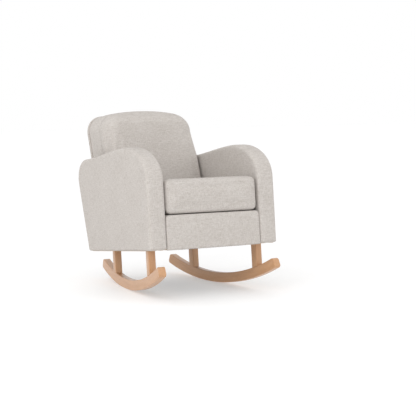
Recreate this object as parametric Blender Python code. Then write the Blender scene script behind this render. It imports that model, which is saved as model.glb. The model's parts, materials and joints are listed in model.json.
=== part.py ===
"""Upholstered nursery rocking chair on two bentwood-shaped rockers, built as an assembly.

The body is drawn upright in its own axes: x across, y from the front panel to the back, z up from
the underside.  The empty "chair" then leans it back to the angle at which it comes to rest.
"""
import math

import bmesh
import bpy
from mathutils import Matrix, Vector

# --- driving dimensions, metres ---
OVERALL_WIDTH = 0.700
INNER_WIDTH = 0.511
BASE_DEPTH = 0.700
BASE_HEIGHT = 0.165
REST_LEAN = math.radians(6.5)
BACK_SLOPE = math.tan(math.radians(14.0))
GAP = 0.0003

ARM_FRONT = -0.008
ARM_CREST = 0.503
ARM_REAR_TOP = 0.477
ARM_NOSE_DEPTH = 0.258
ARM_NOSE_HEIGHT = 0.173
ARM_REAR_RADIUS = 0.100
ARM_EDGE = 0.018
ARM_WALL = 0.018
ARM_BOARD = 0.009

BACK_TOP = 0.716
BACK_THICK = 0.263
BACK_CROWN = 1.300
BACK_CORNER = 0.095
BACK_EDGE = 0.050
BACK_EDGE_DEPTH = 0.090
BACK_EDGE_LOW = 0.010
BACK_TAPER = (0.460, 0.590)
BACK_SIDE_GAP = 0.001
BACK_WALL = 0.021
PANEL_THICK = 0.018

CUSHION_FRONT = -0.012
CUSHION_REAR = 0.468
CUSHION_TOP = 0.336
CUSHION_WALL = 0.004
LIFT_GAP = 0.0015

ROCKER_RADIUS = 1.1523
ROCKER_HEIGHT = 0.050
ROCKER_WIDTH = 0.0353
ROCKER_SPACING = 0.5166
ROCKER_TOE = 0.1337
ARC_CENTRE_Y = 0.363
ARC_CENTRE_Z = 0.9578
REST_FACET = math.radians(4.8)
TIP_FRONT = math.radians(27.6)
TIP_BACK = math.radians(18.0)
FACETS_FRONT = 11
FACETS_BACK = 7
LEG_DEPTH = 0.0405
LEG_REAR = 0.2702
LEG_FRONT = -0.2572

RAIL = 0.022
RAIL_TOP = 0.135
SPRING_Z = 0.1404
SPRING_WIRE = 0.0019
POST_WIDTH = 0.033
POST_DEPTH = 0.040
POST_BEHIND = 0.052
BOLT = 0.004

IN = INNER_WIDTH / 2
OUT = OVERALL_WIDTH / 2
SIDES = (("left", -1), ("right", 1))


# --- helpers ---
def clear_scene():
    for old in list(bpy.data.objects):
        bpy.data.objects.remove(old, do_unlink=True)


def material(name, colour, roughness, metallic=0.0):
    mat = bpy.data.materials.new(name)
    mat.use_nodes = True
    shader = mat.node_tree.nodes["Principled BSDF"]
    shader.inputs["Base Color"].default_value = (*colour, 1.0)
    shader.inputs["Roughness"].default_value = roughness
    shader.inputs["Metallic"].default_value = metallic
    mat.diffuse_color = (*colour, 1.0)
    return mat


def empty(name, parent=None, location=(0, 0, 0), rotation=(0, 0, 0)):
    obj = bpy.data.objects.new(name, None)
    bpy.context.collection.objects.link(obj)
    obj.parent = parent
    obj.location = location
    obj.rotation_euler = rotation
    return obj


def finish(name, bm, mat, parent, origin=(0, 0, 0)):
    """Turn the bmesh into a named object whose own origin is at the given place."""
    bmesh.ops.recalc_face_normals(bm, faces=bm.faces)
    bmesh.ops.translate(bm, verts=bm.verts, vec=-Vector(origin))
    mesh = bpy.data.meshes.new(name)
    bm.to_mesh(mesh)
    bm.free()
    mesh.shade_smooth()
    mesh.set_sharp_from_angle(angle=math.radians(35))
    mesh.materials.append(mat)
    obj = bpy.data.objects.new(name, mesh)
    bpy.context.collection.objects.link(obj)
    obj.parent = parent
    obj.location = origin
    return obj


def add_prism(bm, outline, low, high, place):
    """Extrude a closed outline of (u, v) points from low to high; place(u, v, w) gives the point."""
    near = [bm.verts.new(place(u, v, low)) for u, v in outline]
    far = [bm.verts.new(place(u, v, high)) for u, v in outline]
    bm.faces.new(near)
    bm.faces.new(reversed(far))
    for i in range(len(outline)):
        j = (i + 1) % len(outline)
        bm.faces.new((near[j], near[i], far[i], far[j]))
    return near, far


def along_x(u, v, w):
    return Vector((w, u, v))


def along_z(u, v, w):
    return Vector((u, v, w))


def add_box(bm, low, high):
    sizes = [b - a for a, b in zip(low, high)]
    middle = [(a + b) / 2 for a, b in zip(low, high)]
    matrix = Matrix.Translation(middle) @ Matrix.Diagonal((*sizes, 1.0))
    bmesh.ops.create_cube(bm, size=1.0, matrix=matrix)


def box(name, low, high, mat, parent, edge=0.0, segments=1):
    bm = bmesh.new()
    add_box(bm, low, high)
    if edge:
        bmesh.ops.bevel(
            bm, geom=bm.edges[:], offset=edge, segments=segments, profile=0.5, affect="EDGES"
        )
    return finish(name, bm, mat, parent)


def add_turned(bm, start, direction, steps, sides=12):
    """A round bar along direction: steps are (distance, radius) pairs, closed by flat ends."""
    turn = Vector(direction).to_track_quat("Z", "Y").to_matrix().to_4x4()
    place = Matrix.Translation(start) @ turn
    rings = []
    for distance, radius in steps:
        angles = [2 * math.pi * k / sides for k in range(sides)]
        points = [Vector((radius * math.cos(a), radius * math.sin(a), distance)) for a in angles]
        rings.append([bm.verts.new(place @ p) for p in points])
    bm.faces.new(reversed(rings[0]))
    bm.faces.new(rings[-1])
    for lower, upper in zip(rings, rings[1:]):
        for k in range(sides):
            n = (k + 1) % sides
            bm.faces.new((lower[k], lower[n], upper[n], upper[k]))


def cut(target, cutter):
    """Subtract a hidden guide solid from a part."""
    cutter.hide_render = True
    cutter.display_type = "WIRE"
    boolean = target.modifiers.new("cut_" + cutter.name, "BOOLEAN")
    boolean.operation = "DIFFERENCE"
    boolean.object = cutter


def hole(name, start, direction, length, radius, parent, targets):
    bm = bmesh.new()
    add_turned(bm, start, direction, [(0, radius), (length, radius)])
    cutter = finish(name, bm, MATS["steel"], parent)
    for target in targets:
        cut(target, cutter)


# --- outlines ---
def arc(centre, radii, start, stop, steps):
    points = []
    for k in range(steps + 1):
        a = math.radians(start + (stop - start) * k / steps)
        points.append((centre[0] + radii[0] * math.cos(a), centre[1] + radii[1] * math.sin(a)))
    return points


def arm_outline(inset, bottom):
    """Side view of an arm: upright nose, long round-over, slow S along the top, round rear corner."""
    lean = math.atan(BACK_SLOPE)
    nose_y = ARM_FRONT + ARM_NOSE_DEPTH
    nose_z = ARM_CREST - ARM_NOSE_HEIGHT
    nose = arc(
        (nose_y, nose_z), (ARM_NOSE_DEPTH - inset, ARM_NOSE_HEIGHT - inset), 180, 90, 16
    )
    rear_z = ARM_REAR_TOP - ARM_REAR_RADIUS
    rear_y = BASE_DEPTH + BACK_SLOPE * rear_z - ARM_REAR_RADIUS / math.cos(lean)
    radius = ARM_REAR_RADIUS - inset
    rear = arc((rear_y, rear_z), (radius, radius), 90, -math.degrees(lean), 13)
    sweep = []
    for k in range(1, 8):
        t = k / 8
        ease = t * t * (3 - 2 * t)
        drop = (ARM_CREST - ARM_REAR_TOP) * ease
        sweep.append((nose_y + (rear_y - nose_y) * t, ARM_CREST - inset - drop))
    foot_y = BASE_DEPTH + BACK_SLOPE * bottom - inset / math.cos(lean)
    return [(ARM_FRONT + inset, bottom)] + nose + sweep + rear + [(foot_y, bottom)]


def back_corner():
    centre_x = IN - BACK_SIDE_GAP - BACK_CORNER
    join = math.asin(centre_x / (BACK_CROWN - BACK_CORNER))
    centre_z = BACK_TOP - BACK_CROWN + (BACK_CROWN - BACK_CORNER) * math.cos(join)
    return centre_x, centre_z, math.degrees(join)


def back_outline(inset, bottom):
    """Front view of the backrest: straight sides, round shoulders and a slightly crowned top."""
    centre_x, centre_z, join = back_corner()
    half = IN - BACK_SIDE_GAP - inset
    crown_z = BACK_TOP - BACK_CROWN
    corner = arc(
        (centre_x, centre_z), (BACK_CORNER - inset, BACK_CORNER - inset), 0, 90 - join, 7
    )
    crown = arc(
        (0, crown_z), (BACK_CROWN - inset, BACK_CROWN - inset), 90 - join, 90 + join, 8
    )
    right = [(half, bottom)] + corner
    left = [(-x, z) for x, z in reversed(right)]
    return right + crown[1:-1] + left


def rear_face(z):
    return BASE_DEPTH + BACK_SLOPE * z


def behind(offset):
    """Place for a prism whose outline is (x, z) and whose depth follows the leaning rear face."""
    return lambda u, v, w: Vector((u, rear_face(v) + w + offset, v))


# --- upholstered shells ---
def arm_cover(side, sign, parent):
    bm = bmesh.new()
    low, high = sorted((sign * IN, sign * OUT))
    near, far = add_prism(bm, arm_outline(0, 0), low, high, along_x)
    rim = [e for e in bm.edges if len({v in near for v in e.verts}) == 1]
    bmesh.ops.bevel(bm, geom=rim, offset=ARM_EDGE, segments=3, profile=0.5, affect="EDGES")
    cover = finish("arm_cover_" + side, bm, MATS["fabric"], parent)
    bm = bmesh.new()
    low, high = sorted((sign * (IN + ARM_WALL), sign * (OUT - ARM_WALL)))
    add_prism(bm, arm_outline(ARM_WALL, -0.02), low, high, along_x)
    cut(cover, finish("guide_arm_hollow_" + side, bm, MATS["fabric"], parent))
    return cover


def arm_boards(side, sign, parent):
    boards = []
    inner = IN + ARM_WALL + 0.0005
    outer = OUT - ARM_WALL - 0.0005 - ARM_BOARD
    for which, start in (("inner", inner), ("outer", outer)):
        bm = bmesh.new()
        low, high = sorted((sign * start, sign * (start + ARM_BOARD)))
        add_prism(bm, arm_outline(ARM_WALL + 0.001, 0.002), low, high, along_x)
        boards.append(finish(f"arm_board_{which}_{side}", bm, MATS["ply"], parent))
    low, high = sorted((sign * (inner + ARM_BOARD + GAP), sign * (outer - GAP)))
    for which, y, z, depth, height in (("front", 0.030, 0.060, 0.030, 0.250),
                                       ("top", 0.200, 0.425, 0.420, 0.030)):
        box(f"arm_spacer_{which}_{side}", (low, y, z), (high, y + depth, z + height),
            MATS["frame_wood"], parent)
    return boards[0], (low, high)


def back_ring(depth):
    """Outline of the back pad at a depth behind its front: the edge rolls over, most at the top."""
    roll = 1 - math.sqrt(1 - (1 - min(depth / BACK_EDGE_DEPTH, 1.0)) ** 2)
    low, high = BACK_TAPER
    half = IN - BACK_SIDE_GAP
    right = []
    for k in range(6):
        z = (BASE_HEIGHT + LIFT_GAP) if k == 0 else low + (high - low) * (k - 1) / 5
        share = max(0.0, (z - low) / (high - low))
        right.append((half - roll * (BACK_EDGE_LOW + (BACK_EDGE - BACK_EDGE_LOW) * share), z))
    top = back_outline(roll * BACK_EDGE, low)[1:-1]
    left = [(-x, z) for x, z in reversed(right)]
    return right + top + left


def back_cover(parent):
    """Front pad, side bands and top band in one piece, open behind and below."""
    bottom = BASE_HEIGHT + LIFT_GAP
    bm = bmesh.new()
    depths = [BACK_EDGE_DEPTH * t for t in (0, 0.05, 0.18, 0.40, 0.68, 1.0)]
    depths.append(BACK_THICK - PANEL_THICK - GAP)
    rings = []
    for depth in depths:
        place = behind(depth - BACK_THICK)
        rings.append([bm.verts.new(place(x, z, 0)) for x, z in back_ring(depth)])
    bm.faces.new(rings[0])
    bm.faces.new(reversed(rings[-1]))
    count = len(rings[0])
    for near, far in zip(rings, rings[1:]):
        for i in range(count):
            j = (i + 1) % count
            bm.faces.new((near[j], near[i], far[i], far[j]))
    cover = finish("back_cover", bm, MATS["fabric"], parent)
    bm = bmesh.new()
    hollow = back_outline(BACK_WALL, bottom - 0.03)
    add_prism(bm, hollow, BACK_EDGE - BACK_THICK, 0.02, behind(0))
    cut(cover, finish("guide_back_hollow", bm, MATS["fabric"], parent))


def outside_back(parent):
    bm = bmesh.new()
    near, far = add_prism(bm, back_outline(0, 0), -PANEL_THICK, 0, behind(0))
    rear = [e for e in bm.edges if all(v not in near for v in e.verts)]
    bmesh.ops.bevel(bm, geom=rear, offset=0.008, segments=2, profile=0.5, affect="EDGES")
    finish("outside_back_panel", bm, MATS["fabric"], parent)


def back_foam(parent):
    bm = bmesh.new()
    outline = back_outline(BACK_WALL + 0.0008, BASE_HEIGHT + 0.004)
    add_prism(bm, outline, BACK_EDGE + 0.0008 - BACK_THICK, -0.100, behind(0))
    finish("back_foam_pad", bm, MATS["foam"], parent)


def front_panel(parent):
    box("front_panel", (-IN + GAP, 0.0, 0.0), (IN - GAP, PANEL_THICK, BASE_HEIGHT - GAP),
        MATS["fabric"], parent, 0.006, 2)


def seat_deck(parent):
    box("seat_deck_pad", (-IN + GAP, PANEL_THICK + 0.001, 0.1455), (IN - GAP, 0.600, BASE_HEIGHT - GAP),
        MATS["deck_cloth"], parent, 0.004)


# --- timber frame ---
def base_frame(parent):
    front = PANEL_THICK + 0.001
    side_end = 0.680
    rear = 0.585
    box("base_rail_front", (-IN + GAP, front, 0.002), (IN - GAP, front + RAIL, RAIL_TOP),
        MATS["frame_wood"], parent)
    rails = {}
    for side, sign in SIDES:
        low, high = sorted((sign * (IN - GAP - RAIL), sign * (IN - GAP)))
        rails[side] = box("base_rail_" + side, (low, front + RAIL + GAP, 0.002),
                          (high, side_end, RAIL_TOP), MATS["frame_wood"], parent)
    inner = IN - 2 * GAP - RAIL
    box("base_rail_rear", (-inner, rear, 0.002), (inner, rear + RAIL, RAIL_TOP),
        MATS["frame_wood"], parent)
    leg = 0.060
    corner_y = front + RAIL + GAP
    for side, sign in SIDES:
        x = sign * (inner - GAP)
        bm = bmesh.new()
        outline = [(x, corner_y), (x - sign * leg, corner_y), (x, corner_y + leg)]
        add_prism(bm, outline, 0.060, 0.115, along_z)
        finish("corner_block_" + side, bm, MATS["frame_wood"], parent)
    return rails


def seat_springs(parent):
    """Four sinuous springs, hooked from the front rail to the rear rail."""
    start, stop = 0.024, 0.602
    waves, per_wave = 9, 8
    count = waves * per_wave + 1
    for lane in range(4):
        middle = (lane - 1.5) * 0.110
        name = f"seat_spring_{lane + 1}"
        curve = bpy.data.curves.new(name, "CURVE")
        curve.dimensions = "3D"
        curve.bevel_depth = SPRING_WIRE
        curve.bevel_resolution = 0
        curve.use_fill_caps = True
        curve.materials.append(MATS["steel"])
        spline = curve.splines.new("POLY")
        spline.points.add(count - 1)
        for k in range(count):
            t = k / (count - 1)
            swing = 0.024 * math.sin(2 * math.pi * waves * t)
            bunch = 0.010 * math.sin(4 * math.pi * waves * t)
            y = start + (stop - start) * t + bunch * min(1.0, 8 * t, 8 * (1 - t))
            spline.points[k].co = (middle + swing, y, SPRING_Z, 1.0)
        wire = bpy.data.objects.new(name, curve)
        bpy.context.collection.objects.link(wire)
        wire.parent = parent


def back_frame(parent):
    posts = {}
    for side, sign in SIDES:
        outer = IN - 2 * GAP - RAIL
        low, high = sorted((sign * outer, sign * (outer - POST_WIDTH)))
        foot, head = 0.058, 0.560
        front = -POST_BEHIND - POST_DEPTH
        outline = [(rear_face(foot) + front, foot), (rear_face(foot) - POST_BEHIND, foot),
                   (rear_face(head) - POST_BEHIND, head), (rear_face(head) + front, head)]
        bm = bmesh.new()
        add_prism(bm, outline, low, high, along_x)
        posts[side] = finish("back_post_" + side, bm, MATS["frame_wood"], parent)
    reach = IN - 3 * GAP - RAIL - POST_WIDTH
    bm = bmesh.new()
    outline = [(-reach, 0.180), (reach, 0.180), (reach, 0.225), (-reach, 0.225)]
    add_prism(bm, outline, -POST_BEHIND - 0.030, -POST_BEHIND - 0.005, behind(0))
    finish("back_rail_lower", bm, MATS["frame_wood"], parent)
    crown = arc((0, BACK_TOP - BACK_CROWN), (BACK_CROWN - 0.03, BACK_CROWN - 0.03), 83, 97, 6)
    bm = bmesh.new()
    width = IN - 2 * GAP - RAIL - 0.010
    outline = [(-width, 0.5605), (width, 0.5605), (width, 0.620)] + crown + [(-width, 0.620)]
    add_prism(bm, outline, -POST_BEHIND - 0.036, -POST_BEHIND - 0.006, behind(0))
    finish("back_rail_top", bm, MATS["frame_wood"], parent)
    back_webbing(parent)
    return posts


def back_webbing(parent):
    """A net of elastic bands across the front of the posts, cut from one sheet by its gaps."""
    span = IN - 2 * GAP - RAIL - 0.004
    low, band, pitch = 0.235, 0.050, 0.080
    top = -POST_BEHIND - POST_DEPTH - GAP
    bm = bmesh.new()
    high = low + 3 * pitch + band
    outline = [(-span, low), (span, low), (span, high), (-span, high)]
    add_prism(bm, outline, top - 0.002, top, behind(0))
    net = finish("back_webbing", bm, MATS["webbing"], parent)
    bm = bmesh.new()
    for row in range(3):
        z = low + band + pitch * row
        for x in (-0.165, -0.055, 0.055, 0.165):
            gap = [(x - 0.030, z), (x + 0.030, z), (x + 0.030, z + pitch - band),
                   (x - 0.030, z + pitch - band)]
            add_prism(bm, gap, top - 0.02, top + 0.02, behind(0))
    cut(net, finish("guide_webbing_gaps", bm, MATS["webbing"], parent))


# --- rockers, legs and their fixings ---
def rocker_point(radius, angle):
    return (radius * math.sin(angle), ARC_CENTRE_Z - radius * math.cos(angle))


def rocker_assembly(side, sign, parent, block):
    frame = empty("rocker_frame_" + side, parent,
                  (sign * ROCKER_SPACING / 2, ARC_CENTRE_Y, 0), (0, 0, sign * ROCKER_TOE))
    flat = math.atan(math.tan(REST_LEAN) * math.cos(ROCKER_TOE))
    rest = REST_FACET / 2
    front_step = (TIP_FRONT - rest) / FACETS_FRONT
    back_step = (TIP_BACK - rest) / FACETS_BACK
    angles = [flat - TIP_FRONT + k * front_step for k in range(FACETS_FRONT + 1)]
    angles += [flat + rest + k * back_step for k in range(FACETS_BACK + 1)]
    inner = ROCKER_RADIUS - ROCKER_HEIGHT
    outline = [rocker_point(ROCKER_RADIUS, a) for a in angles]
    outline += [rocker_point(inner, a) for a in reversed(angles)]
    half = ROCKER_WIDTH / 2
    bm = bmesh.new()
    near, far = add_prism(bm, outline, -half, half, along_x)
    ends = [e for e in bm.edges if (e.verts[0] in near) != (e.verts[1] in near)]
    ends = [e for e in ends if e.calc_face_angle() > math.radians(45)]
    bmesh.ops.bevel(bm, geom=ends, offset=0.009, segments=3, profile=0.5, affect="EDGES")
    rims = [e for e in bm.edges if e.calc_face_angle() > math.radians(60)]
    bmesh.ops.bevel(bm, geom=rims, offset=0.003, segments=1, profile=0.5, affect="EDGES")
    rocker = finish("rocker_" + side, bm, MATS["beech"], frame)
    for which, s in (("front", LEG_FRONT), ("rear", LEG_REAR)):
        front, rear = s - LEG_DEPTH / 2, s + LEG_DEPTH / 2
        sag = inner - inner * math.cos(front_step / 2) + GAP
        foot = [ARC_CENTRE_Z - math.sqrt(inner ** 2 - y ** 2) + sag for y in (front, rear)]
        outline = [(front, foot[0]), (rear, foot[1]), (rear, -GAP), (front, -GAP)]
        bm = bmesh.new()
        add_prism(bm, outline, -half, half, along_x)
        sides = [e for e in bm.edges if abs(e.verts[0].co.z - e.verts[1].co.z) > 0.05]
        bmesh.ops.bevel(bm, geom=sides, offset=0.003, segments=1, profile=0.5, affect="EDGES")
        leg = finish(f"leg_{which}_{side}", bm, MATS["beech"], frame)
        middle = (foot[0] + foot[1]) / 2
        key = f"{which}_{side}"
        reach = Vector((0.006, 0.012, 0.018))
        centre = Vector((0, s, middle))
        box("tenon_" + key, centre - reach, centre + reach, MATS["beech"], frame)
        reach += Vector((GAP, GAP, GAP))
        mortise = box("guide_mortise_" + key, centre - reach, centre + reach, MATS["beech"], frame)
        cut(rocker, mortise)
        cut(leg, mortise)
        leg_bolt(key, s, frame, [leg, block[which]])


def leg_bolt(key, s, frame, targets):
    """Bolt set in the leg's top, with its washer and nut tightened down on the block above."""
    top = 0.0413
    bm = bmesh.new()
    shank = 0.050
    steps = [(0, BOLT), (shank + top, BOLT), (shank + top, 0.0085), (shank + top + 0.0016, 0.0085),
             (shank + top + 0.0016, 0.0065), (shank + top + 0.008, 0.0065),
             (shank + top + 0.008, BOLT), (shank + top + 0.014, BOLT)]
    add_turned(bm, (0, s, -shank), (0, 0, 1), steps)
    finish("leg_bolt_" + key, bm, MATS["steel"], frame)
    hole("guide_leg_bolt_" + key, (0, s, -shank - GAP), (0, 0, 1), shank + top + 0.01, BOLT + GAP,
         frame, targets)


def leg_blocks(side, sign, bay, parent):
    """Hardwood blocks that the leg bolts pass through: one in the arm, one beside the rear rail."""
    low, high = bay
    front_y = ARC_CENTRE_Y + LEG_FRONT * math.cos(ROCKER_TOE)
    rear_y = ARC_CENTRE_Y + LEG_REAR * math.cos(ROCKER_TOE)
    outer = IN - 2 * GAP - RAIL
    rear_low, rear_high = sorted((sign * outer, sign * (outer - 0.044)))
    return {
        "front": box("leg_block_front_" + side, (low, front_y - 0.045, 0.001),
                     (high, front_y + 0.045, 0.041), MATS["frame_wood"], parent),
        "rear": box("leg_block_rear_" + side, (rear_low, rear_y - 0.018, 0.001),
                    (rear_high, rear_y + 0.040, 0.041), MATS["frame_wood"], parent),
    }


def side_bolt(name, y, z, start, length, sign, targets, parent):
    """Cap-head bolt that runs outwards along x from inside the base."""
    bm = bmesh.new()
    steps = [(-0.005, 0.0065), (0, 0.0065), (0, BOLT), (length, BOLT)]
    add_turned(bm, (sign * start, y, z), (sign, 0, 0), steps)
    finish(name, bm, MATS["steel"], parent)
    hole("guide_" + name, (sign * (start - 0.001), y, z), (sign, 0, 0), length + 0.003,
         BOLT + GAP, parent, targets)


# --- loose seat cushion ---
def cushion(parent):
    half = IN - 0.002
    bottom = BASE_HEIGHT + LIFT_GAP
    seat = empty("seat_cushion_slide", parent, (0, (CUSHION_FRONT + CUSHION_REAR) / 2, bottom))
    local = Vector(seat.location)
    low = Vector((-half, CUSHION_FRONT, bottom)) - local
    high = Vector((half, CUSHION_REAR, CUSHION_TOP)) - local
    cover = box("seat_cushion_cover", low, high, MATS["fabric"], seat, 0.022, 3)
    wall = Vector((CUSHION_WALL,) * 3)
    hollow = box("guide_cushion_hollow", low + wall, high - wall, MATS["fabric"], seat, 0.019, 2)
    cut(cover, hollow)
    wadding = wall + Vector((0.012,) * 3)
    box("seat_cushion_foam", low + wadding, high - wadding, MATS["foam"], seat, 0.012, 2)
    mid = (low.z + high.z) / 2
    slot = box("guide_zip_slot", (-0.205, high.y - 0.02, mid - 0.006),
               (0.205, high.y + 0.02, mid + 0.006), MATS["fabric"], seat)
    cut(cover, slot)
    box("zip_tape", (-0.2047, high.y - CUSHION_WALL, mid - 0.0057),
        (0.2047, high.y - 0.0010, mid + 0.0057), MATS["zip"], seat)
    slider = empty("zip_slider_run", seat, (-0.193, high.y, mid))
    bm = bmesh.new()
    outline = [(-0.0007, -0.0045), (0.0013, -0.0045), (0.0013, 0.0010), (0.0018, 0.0010),
               (0.0018, -0.0270), (0.0030, -0.0270), (0.0030, 0.0035), (0.0013, 0.0045),
               (-0.0007, 0.0045)]
    add_prism(bm, outline, -0.0045, 0.0045, along_x)
    finish("zip_slider", bm, MATS["steel"], slider)


def underside(parent):
    box("dust_cover", (-0.185, 0.024, -0.0010), (0.185, 0.668, GAP), MATS["dust_cloth"], parent)


def set_on_floor(chair):
    """Shift the leaning chair so that its box stands on z = 0, centred over the origin."""
    bpy.context.view_layer.update()
    graph = bpy.context.evaluated_depsgraph_get()
    points = []
    for obj in bpy.data.objects:
        if obj.type == "EMPTY" or obj.hide_render:
            continue
        mesh = obj.evaluated_get(graph).to_mesh()
        points += [obj.matrix_world @ v.co for v in mesh.vertices]
        obj.evaluated_get(graph).to_mesh_clear()
    low = [min(p[i] for p in points) for i in range(3)]
    high = [max(p[i] for p in points) for i in range(3)]
    chair.location = (-(low[0] + high[0]) / 2, -(low[1] + high[1]) / 2, -low[2])
    bpy.context.view_layer.update()


MATS = {}


def build():
    clear_scene()
    MATS.update(
        fabric=material("oatmeal_weave", (0.60, 0.56, 0.52), 0.9),
        beech=material("beech_satin", (0.58, 0.33, 0.18), 0.4),
        frame_wood=material("frame_timber", (0.62, 0.47, 0.30), 0.7),
        ply=material("plywood", (0.66, 0.52, 0.35), 0.7),
        foam=material("foam", (0.80, 0.76, 0.62), 0.95),
        deck_cloth=material("deck_cloth", (0.50, 0.47, 0.43), 0.95),
        webbing=material("elastic_webbing", (0.10, 0.10, 0.10), 0.8),
        dust_cloth=material("dust_cloth", (0.03, 0.03, 0.03), 0.95),
        zip=material("zip_tape", (0.55, 0.52, 0.48), 0.8),
        steel=material("zinc_steel", (0.62, 0.62, 0.60), 0.35, 1.0),
    )
    chair = empty("chair", rotation=(-REST_LEAN, 0, 0))
    rails = base_frame(chair)
    posts = back_frame(chair)
    for side, sign in SIDES:
        cover = arm_cover(side, sign, chair)
        board, bay = arm_boards(side, sign, chair)
        block = leg_blocks(side, sign, bay, chair)
        rocker_assembly(side, sign, chair, block)
        start = IN - GAP - RAIL - 0.0005
        for which, y in (("front", 0.150), ("rear", 0.450)):
            side_bolt(f"arm_bolt_{which}_{side}", y, 0.088, start, 0.062, sign,
                      [rails[side], cover, board], chair)
        z = 0.090
        side_bolt("back_bolt_" + side, rear_face(z) - POST_BEHIND - POST_DEPTH / 2, z,
                  start - POST_WIDTH - 2 * GAP, 0.053, sign, [rails[side], posts[side]], chair)
    seat_springs(chair)
    seat_deck(chair)
    front_panel(chair)
    back_cover(chair)
    back_foam(chair)
    outside_back(chair)
    cushion(chair)
    underside(chair)
    set_on_floor(chair)


build()
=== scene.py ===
import json
import math

import bpy
import numpy as np
from mathutils import Matrix, Vector

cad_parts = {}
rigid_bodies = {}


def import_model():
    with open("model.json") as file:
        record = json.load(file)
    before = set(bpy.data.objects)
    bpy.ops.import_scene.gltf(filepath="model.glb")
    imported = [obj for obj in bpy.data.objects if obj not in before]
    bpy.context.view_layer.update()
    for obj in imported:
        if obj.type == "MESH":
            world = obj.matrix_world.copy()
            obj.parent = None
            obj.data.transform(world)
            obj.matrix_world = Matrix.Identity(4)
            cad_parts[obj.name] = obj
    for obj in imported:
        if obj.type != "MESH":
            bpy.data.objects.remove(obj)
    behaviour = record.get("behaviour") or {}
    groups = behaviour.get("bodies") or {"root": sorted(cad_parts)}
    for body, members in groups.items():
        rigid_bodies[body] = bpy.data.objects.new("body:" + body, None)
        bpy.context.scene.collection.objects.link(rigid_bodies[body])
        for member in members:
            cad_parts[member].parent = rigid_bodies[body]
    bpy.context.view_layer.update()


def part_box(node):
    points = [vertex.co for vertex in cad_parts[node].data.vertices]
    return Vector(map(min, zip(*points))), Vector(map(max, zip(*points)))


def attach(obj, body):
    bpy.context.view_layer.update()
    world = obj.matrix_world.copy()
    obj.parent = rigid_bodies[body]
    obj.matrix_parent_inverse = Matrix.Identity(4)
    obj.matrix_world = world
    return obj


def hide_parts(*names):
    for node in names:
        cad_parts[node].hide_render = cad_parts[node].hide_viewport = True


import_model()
print("frame loaded")

# Soft pieces are shaped in the chair's own upright axes: x across, y from the front panel to the
# back, z up from the underside. seatFrame then leans them back with the chair.
chair = {"lean": math.radians(6.5), "innerHalf": 0.2555, "outerHalf": 0.350,
         "depth": 0.700, "backSlope": math.tan(math.radians(14.0)), "seatLine": 0.1665}
armFrontY = -0.008
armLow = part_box("arm_cover_left")[0]
seatFrame = Matrix.Translation((
    0.0,
    armLow.y - armFrontY * math.cos(chair["lean"]),
    armLow.z + chair["depth"] * math.sin(chair["lean"]),
)) @ Matrix.Rotation(-chair["lean"], 4, "X")


# ---- mesh helpers
def selectOnly(obj):
    bpy.ops.object.select_all(action="DESELECT")
    obj.select_set(True)
    bpy.context.view_layer.objects.active = obj


def applyAll(obj):
    selectOnly(obj)
    for modifier in list(obj.modifiers):
        bpy.ops.object.modifier_apply(modifier=modifier.name)


def readPoints(obj):
    flat = np.empty(len(obj.data.vertices) * 3)
    obj.data.vertices.foreach_get("co", flat)
    return flat.reshape(-1, 3)


def writePoints(obj, points):
    obj.data.vertices.foreach_set("co", np.ascontiguousarray(points).ravel())
    obj.data.update()


def readNormals(obj):
    flat = np.empty(len(obj.data.vertices) * 3)
    obj.data.vertices.foreach_get("normal", flat)
    return flat.reshape(-1, 3)


def arcPoints(centre, radii, start, stop, steps):
    points = []
    for k in range(steps + 1):
        a = math.radians(start + (stop - start) * k / steps)
        points.append((centre[0] + radii[0] * math.cos(a), centre[1] + radii[1] * math.sin(a)))
    return points


def loftedShell(name, rings):
    # rings of equal length, joined side to side and capped at both ends
    count = len(rings[0])
    faces = [list(range(count))[::-1]]
    for r in range(len(rings) - 1):
        a, b = r * count, (r + 1) * count
        faces += [[a + i, a + (i + 1) % count, b + (i + 1) % count, b + i] for i in range(count)]
    faces.append([(len(rings) - 1) * count + i for i in range(count)])
    mesh = bpy.data.meshes.new(name)
    mesh.from_pydata([tuple(p) for ring in rings for p in ring], [], faces)
    obj = bpy.data.objects.new(name, mesh)
    bpy.context.collection.objects.link(obj)
    selectOnly(obj)
    bpy.ops.object.mode_set(mode="EDIT")
    bpy.ops.mesh.select_all(action="SELECT")
    bpy.ops.mesh.normals_make_consistent(inside=False)
    bpy.ops.object.mode_set(mode="OBJECT")
    return obj


def remesh(obj, voxel):
    modifier = obj.modifiers.new("evenMesh", "REMESH")
    modifier.mode = "VOXEL"
    modifier.voxel_size = voxel
    applyAll(obj)


def smoothOver(obj, factor, repeat):
    modifier = obj.modifiers.new("ease", "SMOOTH")
    modifier.factor = factor
    modifier.iterations = repeat
    applyAll(obj)


def roundedSteps(edge):
    # two rounded rims, seven rings each: which rim, how far drawn in and how far along
    for k in range(14):
        a = math.radians(90 * (k if k < 7 else 13 - k) / 6)
        yield k < 7, edge * (1 - math.sin(a)), edge * (1 - math.cos(a))


filling = {"quality": 4, "mass": 0.3, "bending": 0.5, "frames": 20, "inward": 0.0015}


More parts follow.
